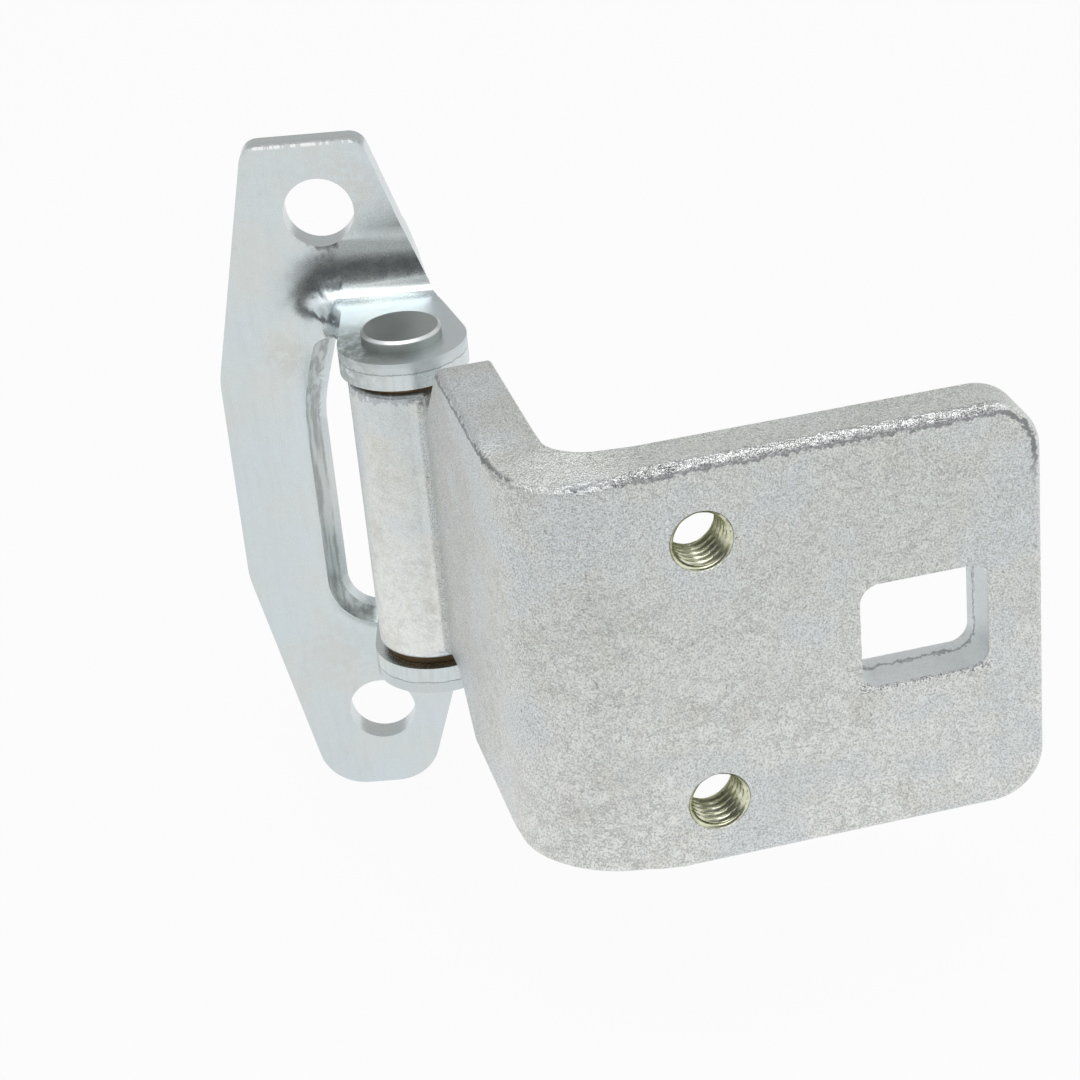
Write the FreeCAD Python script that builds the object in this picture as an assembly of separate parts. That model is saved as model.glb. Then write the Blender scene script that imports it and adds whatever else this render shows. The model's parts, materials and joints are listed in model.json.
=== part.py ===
import FreeCAD, Part
import math
import os
from FreeCAD import Placement, Rotation, Vector

# Car door hinge: a stamped pillar leaf with two ears, a thick L-shaped door leaf with a knuckle,
# and a headed pin that turns in two flanged bushes.
#
# Frame, in millimetres: the origin lies on the pillar leaf's mounting face, midway between its two
# fixing holes. +Y points out of that face into the pillar, +X to the right for someone who faces
# the hinge, and +Z up along the pin.

# Sheet of the pillar leaf
sheet_t = 3.9
fix_hole_d = 10.0
fix_hole_pitch = 81.0

# Outline of the pillar leaf in its own plane, seen from the front
plate_top_z = 50.8
plate_bottom_z = -53.4
plate_left_x = -17.3
plate_corner_z = 16.0
plate_left_lean = 0.217
plate_right_x = 10.5
plate_right_z = 40.0
plate_right_lean = 0.325
plate_top_corner_r = 2.6
plate_bottom_corner_r = 7.0
plate_side_r = 14.0

# Bends of the sheet: each eases in on a wide arc before its tight one
bend_r = 6.5
ease_r = 20.0
ease_deg = 12.0

# Ears and pin axis
pin_x = 11.2
pin_y = -22.6
ear_r = 8.9
upper_ear_z = 28.4
ear_gap = 43.1
ear_spread = 5.3

# Curled inner edge of the strap, and the drawn gusset beside the upper ear
strap_w = 11.9
curl_deg = 45.0
curl_lip = 0.8
gusset_lead = 14.0
gusset_lip = 6.3
gusset_rise = 0.65
gusset_tab = 1.5

# Pin
pin_d = 8.0
head_d = 11.1
head_h = 1.8
head_edge = 0.35
rivet_d = 10.4
rivet_h = 1.6
rivet_edge = 0.7

# Bushes and their fits
bush_wall = 1.0
bush_flange_d = 14.4
bush_flange_t = 1.1
bush_l = 16.0
bush_running_gap = 0.04
axial_play = 0.05

# Knuckle at the end of the door leaf
knuckle_d = 16.1
knuckle_edge = 0.6
groove_r = 2.5

# Door leaf
leaf_t = 7.6
leaf_turn_deg = 14.0
leaf_reach = 61.1
leaf_w = 67.3
leaf_top_z = 32.25
leaf_h = 56.95
leaf_corner_r = 7.0
leg_offset = 0.4
leg_bend_r = 5.4
bend_draw_in = 1.6
bend_bulge = 0.6
bend_fade = 6.0
leg_shoulder = 20.6
shoulder_r = 2.5
front_edge_r = 1.1
back_edge_r = 0.5

# Threaded holes and window of the door leaf
thread_bore_d = 6.8
thread_mouth_d = 8.2
thread_x = 43.9
thread_upper_drop = 10.75
thread_pitch_z = 37.1
window_w = 16.9
window_h = 14.8
window_edge = 7.4
window_drop = 21.35
window_corner_r = 2.6

# Places that follow from the stack along the pin: ear, flange, knuckle, flange, ear
front_y = -sheet_t
upper_ear_under_z = upper_ear_z - sheet_t
lower_ear_z = upper_ear_under_z - ear_gap
lower_ear_under_z = lower_ear_z - sheet_t
knuckle_top_z = upper_ear_under_z - axial_play - bush_flange_t
knuckle_bottom_z = lower_ear_z + axial_play + bush_flange_t
bush_bore_d = pin_d + 2 * bush_running_gap
bush_outer_d = bush_bore_d + 2 * bush_wall

# Places that follow from the bends: how far before its tight arc a bend leaves the flat, the axis
# of that arc, and the heights of the ears' bends
ease = math.radians(ease_deg)
ease_lead = (ease_r - bend_r) * math.sin(ease)
bend_axis_y = front_y - bend_r - (ease_r - bend_r) * (1 - math.cos(ease))
upper_bend_z = upper_ear_z + bend_r
lower_bend_z = lower_ear_under_z - bend_r
upper_root_z = upper_bend_z + ease_lead
lower_root_z = lower_bend_z - ease_lead

# Places that follow from the strap: its curl, and the two rounded window corners
curl = math.radians(curl_deg)
curl_x = plate_left_x + strap_w - bend_r * math.sin(curl)
strap_root_x = curl_x - ease_lead
ear_left_x = pin_x - ear_r
corner_r = ear_left_x - curl_x
upper_corner_z = upper_bend_z - corner_r
lower_corner_z = lower_bend_z + corner_r


def rod(d, z0, z1, x=0.0, y=0.0):
    return Part.makeCylinder(d / 2, z1 - z0, Vector(x, y, z0))


def polygon_wire(points):
    return Part.makePolygon(points + [points[0]])


def straight_edges(shape, axis, test):
    """Straight edges along the axis whose middle passes the test."""
    picked = []
    for edge in shape.Edges:
        if not isinstance(edge.Curve, Part.Line):
            continue
        along = edge.tangentAt(edge.FirstParameter).dot(axis)
        if abs(abs(along) - 1) < 1e-6 and test(edge.CenterOfMass):
            picked.append(edge)
    return picked


# Pillar leaf

def plate_left_at(z):
    return plate_left_x + plate_left_lean * max(0.0, abs(z) - plate_corner_z)


def plate_right_at(z):
    return plate_right_x - plate_right_lean * (abs(z) - plate_right_z)


def rounded_plate():
    """Flat plate with its outer corners rounded, still without its window."""
    corners = [(plate_left_at(plate_top_z), plate_top_z),
               (plate_right_at(plate_top_z), plate_top_z),
               (plate_right_at(upper_root_z), upper_root_z),
               (plate_right_at(lower_root_z), lower_root_z),
               (plate_right_at(plate_bottom_z), plate_bottom_z),
               (plate_left_at(plate_bottom_z), plate_bottom_z),
               (plate_left_x, -plate_corner_z),
               (plate_left_x, plate_corner_z)]
    outline = polygon_wire([Vector(x, front_y, z) for x, z in corners])
    plate = Part.Face(outline).extrude(Vector(0, sheet_t, 0))
    rounds = ((plate_top_corner_r, lambda c: abs(c.z - plate_top_z) < 0.1),
              (plate_bottom_corner_r, lambda c: abs(c.z - plate_bottom_z) < 0.1),
              (plate_side_r, lambda c: abs(c.x - plate_left_x) < 0.1))
    for radius, test in rounds:
        plate = plate.makeFillet(radius, straight_edges(plate, Vector(0, 1, 0), test))
    return plate


def window_start():
    """What the bends and the gusset take the place of, open to the right."""
    def at(x, z):
        return Vector(x, front_y, z)

    def slant(radius, up):
        middle_z = upper_corner_z if up > 0 else lower_corner_z
        return at(ear_left_x - radius * math.sqrt(0.5), middle_z + up * radius * math.sqrt(0.5))

    far_x = plate_right_at(lower_root_z) + sheet_t
    inset = gusset_tab / 2
    root_r = corner_r + ease_lead
    points = [at(strap_root_x - inset, upper_corner_z),
              at(strap_root_x - inset, upper_corner_z - gusset_lead),
              at(strap_root_x, upper_corner_z - gusset_lead),
              at(strap_root_x, lower_corner_z)]
    outline = [Part.makeLine(first, second) for first, second in zip(points, points[1:])]
    outline.append(Part.Arc(points[-1], slant(root_r, -1), at(ear_left_x, lower_root_z)).toShape())
    points = [at(ear_left_x, lower_root_z), at(far_x, lower_root_z), at(far_x, upper_root_z),
              at(ear_left_x, upper_root_z), at(ear_left_x, upper_root_z + inset)]
    outline += [Part.makeLine(first, second) for first, second in zip(points, points[1:])]
    outline.append(Part.Arc(points[-1], slant(root_r + inset, 1),
                            at(strap_root_x - inset, upper_corner_z)).toShape())
    return Part.Face(Part.Wire(outline)).extrude(Vector(0, sheet_t, 0))


def bend_at(angle, depth):
    """Point at a depth behind a bend's front face, in a level section whose flap leans to -Y."""
    start_x, axis_y, radius = 0.0, bend_axis_y, bend_r
    if angle < ease:
        start_x, axis_y, radius = -ease_lead, front_y - ease_r, ease_r
    return Vector(start_x + (radius + depth) * math.sin(angle), axis_y + (radius + depth) * math.cos(angle), 0)


def bend_run(angle):
    """Length along a bend's front face from the flat to where it has turned by the angle."""
    return ease_r * min(angle, ease) + bend_r * max(angle - ease, 0.0)


def bend_stretches(stretches, depth):
    """Start, middle and end of each stretch of a bend at a depth behind its front face.

    A stretch is the angle that it turns by and its length on the front face.
    """
    found = []
    place, angle = Vector(-ease_lead, front_y, 0), 0.0
    for turn, length in stretches:
        points = []
        for share in (0, 0.5, 1):
            now = angle + turn * share
            if turn > 0:
                radius = length / turn
                moved = Vector(math.sin(now) - math.sin(angle), math.cos(now) - math.cos(angle), 0) * radius
            else:
                moved = Vector(math.cos(angle), -math.sin(angle), 0) * length * share
            points.append(place + moved + Vector(math.sin(now), math.cos(now), 0) * depth)
        found.append(points)
        angle += turn
        place = points[-1] - Vector(math.sin(angle), math.cos(angle), 0) * depth
    return found


def curve_through(start, middle, end):
    """Straight edge where the middle lies on the chord, otherwise an arc."""
    if (middle - (start + end) / 2).Length < 1e-9:
        return Part.makeLine(start, end)
    return Part.Arc(start, middle, end).toShape()


def bend_section(angle, lip=0.0, lip_turn=0.0, tab=0.0):
    """Level section of the bent sheet, with a lip at its end and a flat tab of the plate behind it."""
    stretches = [(ease, ease_r * ease), (angle - ease, bend_r * (angle - ease))]
    if lip > 0:
        stretches.append((lip_turn, lip))
    front, back = bend_stretches(stretches, 0), bend_stretches(stretches, sheet_t)
    near_front, near_back = front[0][0], back[0][0]
    far_front, far_back = near_front - Vector(tab, 0, 0), near_back - Vector(tab, 0, 0)
    edges = [curve_through(*points) for points in front]
    edges.append(Part.makeLine(front[-1][-1], back[-1][-1]))
    edges += [curve_through(*reversed(points)) for points in reversed(back)]
    if tab > 0:
        edges.append(Part.makeLine(near_back, far_back))
    edges.append(Part.makeLine(far_back, far_front))
    if tab > 0:
        edges.append(Part.makeLine(far_front, near_front))
    return Part.Wire(edges)


def strap_curl():
    """Inner edge of the strap, curled forward, with its rounded lower window corner."""
    section = Part.Face(bend_section(curl))
    section.translate(Vector(curl_x, 0, lower_corner_z))
    straight = section.extrude(Vector(0, 0, upper_corner_z - gusset_lead - lower_corner_z))
    turn = section.revolve(Vector(ear_left_x, 0, lower_corner_z), Vector(0, 1, 0), -90)
    return [straight, turn]


def upper_gusset():
    """Drawn corner in which the strap's curl opens up into the upper ear, its lip growing forward."""
    rings = []
    steps = 16
    first_angle = curl - curl_lip / bend_r
    whole = corner_r * math.pi / 2 + gusset_lead
    for i in range(steps + 1):
        share = i / steps
        run = whole * share - gusset_lead
        angle = first_angle + (math.pi / 2 - first_angle) * share ** 4
        growth = math.sin(math.pi / 2 * min(share / gusset_rise, 1.0)) ** 2
        lip = curl_lip + (gusset_lip - curl_lip) * growth
        section = bend_section(angle, lip, (1 - growth) * lip / bend_r, gusset_tab)
        section.translate(Vector(curl_x, 0, upper_corner_z + min(run, 0.0)))
        section.rotate(Vector(ear_left_x, 0, upper_corner_z), Vector(0, 1, 0),
                       math.degrees(max(run, 0.0) / corner_r))
        rings.append(section)
    return Part.makeLoft(rings, True, False)


def ear_bend(bend_z, up):
    """Full bend of an ear. Its right side carries on the slant of the plate's edge."""
    widest = plate_right_at(bend_z + up * ease_lead) + ear_spread
    far_x = widest + 2 * sheet_t
    section = Part.Face(bend_section(math.pi / 2))
    section.rotate(Vector(0, 0, 0), Vector(0, 1, 0), 90 * up)
    section.translate(Vector(ear_left_x, 0, bend_z))
    bend = section.extrude(Vector(widest + sheet_t - ear_left_x, 0, 0))
    rings = []
    steps = 8
    for i in range(steps + 1):
        angle = math.pi / 2 * i / steps
        right = widest - ear_spread * (1 - bend_run(angle) / bend_run(math.pi / 2))
        ring = []
        for x, depth in ((right, -bend_r / 2), (far_x, -bend_r / 2), (far_x, bend_r), (right, bend_r)):
            place = bend_at(angle, depth)
            ring.append(Vector(x, place.y, bend_z - up * place.x))
        rings.append(polygon_wire(ring))
    return bend.cut(Part.makeLoft(rings, True, False))


def tangent_from(x, y):
    """Right-hand point where a line from (x, y) touches the round end of an ear."""
    dx, dy = x - pin_x, y - pin_y
    away = math.hypot(dx, dy)
    angle = math.atan2(dy, dx) - math.acos(ear_r / away)
    return pin_x + ear_r * math.cos(angle), pin_y + ear_r * math.sin(angle)


def ear_flat(under_z, right_x):
    """Level part of an ear, round at the pin and as wide as its bend at the back."""
    touch_x, touch_y = tangent_from(right_x, bend_axis_y)
    corners = [(ear_left_x, bend_axis_y), (ear_left_x, pin_y), (pin_x, pin_y),
               (touch_x, touch_y), (right_x, bend_axis_y)]
    neck = Part.Face(polygon_wire([Vector(x, y, under_z) for x, y in corners]))
    neck = neck.extrude(Vector(0, 0, sheet_t))
    return neck.fuse(rod(2 * ear_r, under_z, under_z + sheet_t, pin_x, pin_y))


def make_pillar_leaf():
    leaf = rounded_plate().cut(window_start())
    pieces = strap_curl() + [upper_gusset()]
    for bend_z, under_z, up in ((upper_bend_z, upper_ear_under_z, 1),
                                (lower_bend_z, lower_ear_under_z, -1)):
        pieces.append(ear_bend(bend_z, up))
        pieces.append(ear_flat(under_z, plate_right_at(bend_z + up * ease_lead) + ear_spread))
    leaf = leaf.fuse(pieces).removeSplitter()
    for side in (-1, 1):
        hole = Part.makeCylinder(fix_hole_d / 2, 3 * sheet_t,
                                 Vector(0, -2 * sheet_t, side * fix_hole_pitch / 2), Vector(0, 1, 0))
        leaf = leaf.cut(hole)
    return leaf.cut(rod(pin_d, lower_root_z, upper_root_z, pin_x, pin_y))


# Door leaf, built beside the pin axis: X along the leaf, Y square to it, then turned into place

def turned(shape):
    shape.rotate(Vector(0, 0, 0), Vector(0, 0, 1), leaf_turn_deg)
    shape.translate(Vector(pin_x, pin_y, 0))
    return shape


leaf_front_y = -leaf_reach
leaf_back_y = leaf_front_y + leaf_t
leaf_bottom_z = leaf_top_z - leaf_h
leaf_right_x = leg_offset + leaf_w
leg_inner_x = leg_offset + leaf_t
knuckle_r = knuckle_d / 2
bar_outer_r = leg_bend_r + leaf_t
bend_x = leg_offset + bar_outer_r
bend_y = leaf_front_y + bar_outer_r


def rounded_wire(points, radii):
    """Closed wire through the points, each corner rounded to its radius."""
    edges, joints = [], []
    for i, corner in enumerate(points):
        back = (points[i - 1] - corner).normalize()
        ahead = (points[(i + 1) % len(points)] - corner).normalize()
        half = back.getAngle(ahead) / 2
        reach = radii[i] / math.tan(half)
        middle = corner + (back + ahead).normalize() * (radii[i] / math.sin(half) - radii[i])
        joints.append((corner + back * reach, middle, corner + ahead * reach))
    for i, (start, middle, end) in enumerate(joints):
        edges.append(Part.Arc(start, middle, end).toShape())
        edges.append(Part.makeLine(end, joints[(i + 1) % len(joints)][0]))
    return Part.Wire(edges)


def across_bar(run):
    """Outer and inner edge of the bar, at a run along its inner face from the bend's middle."""
    half_arc = leg_bend_r * math.pi / 4
    angle = min(max(math.pi / 4 + run / leg_bend_r, 0.0), math.pi / 2)
    beyond = max(abs(run) - half_arc, 0.0)
    shift = Vector(0, beyond, 0) if run > 0 else Vector(beyond, 0, 0)
    centre = Vector(bend_x, bend_y, 0) + shift
    aim = Vector(-math.sin(angle), -math.cos(angle), 0)
    return centre + aim * bar_outer_r, centre + aim * leg_bend_r


def bar_section(run, share):
    """Rounded section of the bar. Bending draws its outer edges in and bulges its inner ones."""
    outer, inner = across_bar(run)
    low, high = Vector(0, 0, leaf_bottom_z), Vector(0, 0, leaf_top_z)
    drawn, bulged = Vector(0, 0, share * bend_draw_in), Vector(0, 0, share * bend_bulge)
    corners = [outer + low + drawn, inner + low - bulged, inner + high + bulged, outer + high - drawn]
    return rounded_wire(corners, [front_edge_r, back_edge_r, back_edge_r, front_edge_r])


def bar_bend():
    reach = leg_bend_r * math.pi / 4 + bend_fade
    rings = []
    steps = 14
    for i in range(steps + 1):
        run = reach * (2 * i / steps - 1)
        rings.append(bar_section(run, math.cos(math.pi / 2 * run / reach) ** 2))
    return Part.makeLoft(rings, True, False)


def block(x0, x1, y0, y1):
    """Full-height straight length of the bar."""
    return Part.makeBox(x1 - x0, y1 - y0, leaf_h, Vector(x0, y0, leaf_bottom_z))


def round_rim(bar, axis, front, back, cut_end):
    """Straight length of the bar with both rims rounded, all but those at its cut end."""
    for place, radius in ((front, front_edge_r), (back, back_edge_r)):
        rim = []
        for edge in bar.Edges:
            middle = edge.valueAt((edge.FirstParameter + edge.LastParameter) / 2)
            if abs(middle.dot(axis) - place) < 1e-3 and not cut_end(middle):
                rim.append(edge)
        bar = bar.makeFillet(radius, rim)
    return bar


def leaf_plate():
    cut_x = bend_x + bend_fade
    leaf = block(cut_x, leaf_right_x, leaf_front_y, leaf_back_y)
    corners = straight_edges(leaf, Vector(0, 1, 0), lambda c: c.x > leaf_right_x - 1)
    leaf = leaf.makeFillet(leaf_corner_r, corners)
    return round_rim(leaf, Vector(0, 1, 0), leaf_front_y, leaf_back_y, lambda c: c.x < cut_x + 0.1)


def leg():
    cut_y = bend_y + bend_fade
    bar = block(leg_offset, leg_inner_x, cut_y, 0).cut(side_trim())
    brows = straight_edges(bar, Vector(1, 0, 0), lambda c: abs(c.y + leg_shoulder) < 0.1)
    bar = bar.makeFillet(shoulder_r, brows)
    return round_rim(bar, Vector(1, 0, 0), leg_offset, leg_inner_x,
                     lambda c: c.y < cut_y + 0.1 or c.y > -0.1)


def side_trim():
    """What the side view takes off the leg: two sloped shoulders down to the knuckle's height."""
    shoulder_y = -leg_shoulder
    back_y = knuckle_r + leaf_t
    drop = leaf_top_z - knuckle_top_z
    rise = knuckle_bottom_z - leaf_bottom_z
    x0 = leg_offset - leaf_t
    upper = [(shoulder_y, leaf_top_z), (shoulder_y + drop, knuckle_top_z),
             (back_y, knuckle_top_z), (back_y, leaf_top_z)]
    lower = [(shoulder_y, leaf_bottom_z), (shoulder_y + rise, knuckle_bottom_z),
             (back_y, knuckle_bottom_z), (back_y, leaf_bottom_z)]
    trims = []
    for corners in (upper, lower):
        face = Part.Face(polygon_wire([Vector(x0, y, z) for y, z in corners]))
        trims.append(face.extrude(Vector(3 * leaf_t, 0, 0)))
    return trims


def groove_fill():
    """Filler that rounds the groove between the knuckle and the leg's outer face."""
    def at(x, y):
        return Vector(x, y, knuckle_bottom_z + front_edge_r)

    centre_x = leg_offset - groove_r
    centre_y = -math.sqrt((knuckle_r + groove_r) ** 2 - centre_x ** 2)
    touch = knuckle_r / (knuckle_r + groove_r)
    start, end = at(leg_offset, centre_y), at(centre_x * touch, centre_y * touch)
    toward = (start + end) / 2 - at(centre_x, centre_y)
    middle = at(centre_x, centre_y) + toward.normalize() * groove_r
    inner_x, inner_y = leg_offset + leaf_t / 2, end.y + 2 * knuckle_edge
    edges = [Part.Arc(start, middle, end).toShape()]
    for first, second in ((end, at(end.x, inner_y)), (at(end.x, inner_y), at(inner_x, inner_y)),
                          (at(inner_x, inner_y), at(inner_x, start.y)), (at(inner_x, start.y), start)):
        edges.append(Part.makeLine(first, second))
    return Part.Face(Part.Wire(edges)).extrude(Vector(0, 0, knuckle_top_z - knuckle_bottom_z
                                                      - 2 * front_edge_r))


def make_door_leaf():
    across = Vector(0, 1, 0)
    knuckle = rod(knuckle_d, knuckle_bottom_z, knuckle_top_z)
    ends = [e for e in knuckle.Edges if abs(e.CenterOfMass.x) < 1e-6 and abs(e.CenterOfMass.y) < 1e-6]
    knuckle = knuckle.makeFillet(knuckle_edge, ends)
    bar = leaf_plate().fuse([bar_bend(), leg(), knuckle, groove_fill()]).removeSplitter()
    window_right_x = leaf_right_x - window_edge
    window_top_z = leaf_top_z - window_drop
    window = Part.makeBox(window_w, 3 * leaf_t, window_h,
                          Vector(window_right_x - window_w, leaf_front_y - leaf_t, window_top_z - window_h))
    window = window.makeFillet(window_corner_r, straight_edges(window, across, lambda c: True))
    bar = bar.cut(window)
    for i in range(2):
        centre = Vector(leaf_right_x - thread_x, leaf_front_y, leaf_top_z - thread_upper_drop
                        - i * thread_pitch_z)
        bar = bar.cut(Part.makeCylinder(thread_bore_d / 2, leaf_t, centre, across))
        mouth = (thread_mouth_d - thread_bore_d) / 2
        bar = bar.cut(Part.makeCone(thread_mouth_d / 2, thread_bore_d / 2, mouth, centre, across))
        bar = bar.cut(Part.makeCone(thread_bore_d / 2, thread_mouth_d / 2, mouth,
                                    centre + Vector(0, leaf_t - mouth, 0), across))
    bar = bar.cut(rod(bush_outer_d, knuckle_bottom_z, knuckle_top_z))
    return turned(bar)


# Pin and bushes

def make_hinge_pin():
    tail_z = lower_ear_under_z - rivet_h
    pin = rod(pin_d, tail_z, upper_ear_z + head_h)
    head = rod(head_d, upper_ear_z, upper_ear_z + head_h)
    rims = [e for e in head.Edges if abs(e.CenterOfMass.z - upper_ear_z - head_h) < 1e-6]
    head = head.makeChamfer(head_edge, rims)
    rivet = rod(rivet_d, tail_z, lower_ear_under_z)
    rims = [e for e in rivet.Edges if abs(e.CenterOfMass.z - tail_z) < 1e-6]
    rivet = rivet.makeFillet(rivet_edge, rims)
    pin = pin.fuse([head, rivet]).removeSplitter()
    pin.translate(Vector(pin_x, pin_y, 0))
    return pin


def make_bush(face_z, up):
    """Flanged bush whose flange lies on the knuckle's end at face_z."""
    z_flange = face_z + up * bush_flange_t
    z_tube = face_z - up * bush_l
    flange = rod(bush_flange_d, min(face_z, z_flange), max(face_z, z_flange))
    tube = rod(bush_outer_d, min(z_tube, z_flange), max(z_tube, z_flange))
    bush = flange.fuse(tube).removeSplitter()
    bush = bush.cut(rod(bush_bore_d, min(z_tube, z_flange), max(z_tube, z_flange)))
    bush.translate(Vector(pin_x, pin_y, 0))
    return bush


os.makedirs("parts", exist_ok=True)
make_pillar_leaf().exportStep("parts/pillar_leaf.step")
make_door_leaf().exportStep("parts/door_leaf.step")
make_hinge_pin().exportStep("parts/hinge_pin.step")
make_bush(knuckle_top_z, 1).exportStep("parts/upper_bush.step")
make_bush(knuckle_bottom_z, -1).exportStep("parts/lower_bush.step")
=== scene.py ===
import functools
import json
import math

import bmesh
import bpy
from mathutils import Matrix, Vector, noise
from mathutils.bvhtree import BVHTree


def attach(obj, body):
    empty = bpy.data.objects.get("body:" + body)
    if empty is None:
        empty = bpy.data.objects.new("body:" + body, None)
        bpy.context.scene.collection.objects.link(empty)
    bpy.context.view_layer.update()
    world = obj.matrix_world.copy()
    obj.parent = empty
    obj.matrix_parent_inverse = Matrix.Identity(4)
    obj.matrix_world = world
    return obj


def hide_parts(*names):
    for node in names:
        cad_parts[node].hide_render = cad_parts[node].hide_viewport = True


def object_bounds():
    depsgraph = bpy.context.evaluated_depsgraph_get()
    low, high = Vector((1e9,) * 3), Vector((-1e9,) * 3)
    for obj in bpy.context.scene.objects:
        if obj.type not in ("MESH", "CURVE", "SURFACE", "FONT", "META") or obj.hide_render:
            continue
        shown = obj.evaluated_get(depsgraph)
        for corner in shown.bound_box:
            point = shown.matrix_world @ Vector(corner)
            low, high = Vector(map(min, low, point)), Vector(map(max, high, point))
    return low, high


# Car door hinge, dressed: plated leaves, a turned pin, bronze bushes and real threads.
# Lengths are in metres. Those that belong to a material are in millimetres.

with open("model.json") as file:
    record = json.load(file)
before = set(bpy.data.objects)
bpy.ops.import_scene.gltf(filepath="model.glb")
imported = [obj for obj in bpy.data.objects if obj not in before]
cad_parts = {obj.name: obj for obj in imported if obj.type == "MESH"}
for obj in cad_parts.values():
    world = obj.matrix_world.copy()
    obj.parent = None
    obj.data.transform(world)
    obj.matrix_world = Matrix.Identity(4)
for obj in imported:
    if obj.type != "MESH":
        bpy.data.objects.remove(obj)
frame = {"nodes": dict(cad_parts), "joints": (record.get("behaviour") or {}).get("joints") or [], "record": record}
cad_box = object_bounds()
record = frame["record"]
mounts = {mount["name"]: mount for mount in record["mounts"]}
joint = frame["joints"][0]

MM = 0.001
weld_gap = 1e-6
cut_gap = 1e-7
tiny = 1e-9
pin_at = Vector((*joint["pos_m"][:2], 0.0))
leaf_out = Vector(mounts["door_face"]["axis"])
leaf_turn = math.atan2(leaf_out.x, -leaf_out.y)
thread_names = ("door_thread_upper", "door_thread_lower")

# Camera, from the photograph's vanishing lines and edges
camera_at = Vector((0.04343, -0.39015, 0.18487))
camera_azimuth = 0.0439
camera_pitch = 0.4745
camera_roll = 0.0980
camera_lens_mm = 97.67
camera_clip = (0.01, 20.0)
sensor_mm = 36.0

# Thread of the two holes: its groove widens by the slope from the crest and is cut off at its full depth
thread_pitch = 1.25 * MM
thread_depth = 0.62 * MM
thread_core_clear = 0.03 * MM
thread_mouth = 0.75 * MM
thread_groove = 1.22
thread_slope = 2.9
thread_sides = 72
thread_rows_a_turn = 10

# Bend of the door leaf, in the leaf's own frame: along it and square to it, from the pin's axis
bend_centre = Vector((13.4, -48.1)) * MM
bend_outer_r = 13.0 * MM

# Torn upper front edge of the door leaf: its band, its fading, and two noises as height and size in mm
tear_wide = 1.7 * MM
tear_rows = 6
tear_step = 0.36 * MM
tear_end = 64.5 * MM
tear_fade = 4.0 * MM
tear_arc = 0.72
tear_arc_fade = 0.35
tear_gain = 2.2
tear_coarse = (0.32, 0.9)
tear_fine = (0.2, 0.42)
tear_fine_shift = Vector((9, 5, 3))

# Sheet: its greatest thickness, the search for its other side, and the cosines that tell its front faces
sheet_limit = 4.6 * MM
sheet_ray = 4 * sheet_limit
ray_start = 0.01 * MM
front_facing = 0.99
front_carries_on = 0.9

# Bend beside the upper ear, solid and photographed: wide radius, angle turned on it, tight radius, in mm
solid_bend = (20.0, math.radians(12.0), 6.5)
real_bend = (14.0, math.radians(36.0), 1.6)

# Flat before the photographed bend, and a way that is surely past both bends, in mm
real_lead = 0.4
far_along = 1e3

# Where that bend lies, how its normals are smoothed, and the tilts over which the profile comes in
bend_low = 26.0 * MM
bend_high = 41.5 * MM
bend_near = 1.0 * MM
bend_smooth = 5
bend_rise = (0.5, 0.9)
bend_flat = 1e-4

# Softened edges of the sheet, and the angles in degrees from which an edge is softened or looks sharp
soften_wide = 0.22 * MM
soften_segments = 3
soften_angle = 50
sheet_sharp = 40
forging_sharp = 35

# In the materials a pair is a range over which a mask comes up, or falls where its second value is the
# lower one. Two more values are what the mask comes up from and to. A band has its rise and its fall.
# A noise has a size, a detail, a roughness and sometimes a distortion. Shades are two colours and the
# range over which one turns into the other. A layer is a colour, its strength and its range.

# Places on the sheet
ear_top_y = (-9.5, -12.0)
ear_top_z = (27.4, 28.2)
ear_side_y = (-6.0, -9.0, 0.25, 1.0)
strap_x = (1.5, 0.5)
strap_z = (27.0, 24.0)
plate_top_z = (50.2, 50.5)
plate_front_y = (-3.2, -3.5)

# Stains of the sheet, the last being a painted shade on the upper ear's top beside the pin's head: centre, reach,
# strength and colour, and the share of the reach that is full
sheet_stains_and_shade = (((-5.7, -4.0, 19.4), 6.0, 0.36, (0.52, 0.48, 0.41)),
                ((4.0, -4.0, 44.5), 8.0, 0.28, (0.66, 0.60, 0.50)),
                ((-5.0, -4.0, -30.0), 9.0, 0.2, (0.60, 0.56, 0.48)),
                ((2.5, -25.0, 28.4), 11.5, 1.0, (0.30, 0.34, 0.32)))
stain_and_shade_core = 0.15
stain_and_shade_spots = (0.3, 0.6)

# Sheet
sheet_base = ((0.66, 0.70, 0.72), 0.28)
sheet_cloud = (11.0, 3.0, 0.55)
sheet_streak = (0.9, 3.0, 0.6)
sheet_mottle = (1.4, 4.0, 0.6)
sheet_grain = (0.2, 2.0, 0.6)
streak_stretch = (1.0, 1.0, 0.12)
sheet_shades = ((0.655, 0.72, 0.75), (0.68, 0.715, 0.70), (0.3, 0.7))
dull_layer = ((0.52, 0.54, 0.53), 0.12, (0.42, 0.72))
# Burr along the plate's top front edge, painted near white as a highlight
burr_highlight_layer = ((0.98, 0.99, 0.99), 1.0, (0.44, 0.5))
sheet_rough = (0.2, 0.8, 0.24, 0.3)
ear_top_rough = 0.12
sheet_grain_high = 0.006

# Faces cut through the sheet, by the depth behind its front: shorn, a dark step, and torn
shear_waver = (0.2, 0.8, -0.14, 0.14)
shorn_layer = ((0.48, 0.52, 0.54), 0.35, (1.6, 1.5))
torn_layer = ((0.46, 0.48, 0.47), 0.2, (1.62, 1.72))
torn_streak = (0.4, 0.65)
step_dark = (0.20, 0.22, 0.23)
step_band = (1.5, 1.58, 1.66, 1.76)
step_strength = 0.65
strap_grey = (0.29, 0.31, 0.30)
strap_whole = 4.0
strap_depth = (2.4, 2.9, 1.0, 0.15)
strap_streak = (0.38, 0.62, 0.3, 0.8)
shear_high = 0.02

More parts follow.
